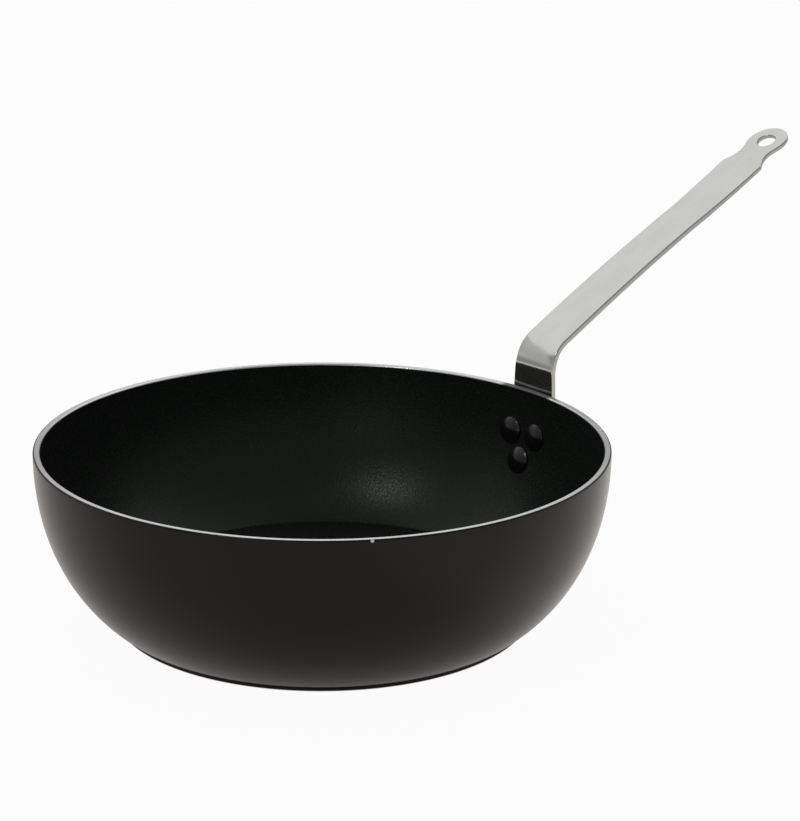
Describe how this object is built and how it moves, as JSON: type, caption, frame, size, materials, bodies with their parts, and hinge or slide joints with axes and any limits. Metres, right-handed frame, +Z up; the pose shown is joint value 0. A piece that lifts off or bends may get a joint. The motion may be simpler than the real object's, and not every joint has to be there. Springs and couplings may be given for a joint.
{
  "type": "nonstick frying pan",
  "caption": "Deep round-sided nonstick frying pan with a bare metal rim and a riveted polished steel strip handle that ends in a hanging eye.",
  "frame": {"origin": "centre of the base's flat underside, where the pan rests", "axes": "+X along the handle, away from the bowl; +Z up through the bowl's mouth"},
  "size_m": [0.4684, 0.28, 0.2032],
  "materials": {
    "bare_aluminium": "fine turned bare metal at the rim and under the base",
    "black_nonstick": "satin black with fine specks",
    "satin_black": "smooth satin black",
    "polished_steel": "polished along its length",
    "coated_rivet": "satin black"
  },
  "bodies": {
    "root": {"pan_body": "bare_aluminium", "nonstick_coating": "black_nonstick", "outer_coating": "satin_black", "handle": "polished_steel", "rivet_upper_left": "coated_rivet", "rivet_upper_right": "coated_rivet", "rivet_lower": "coated_rivet"}
  },
  "joints": []
}
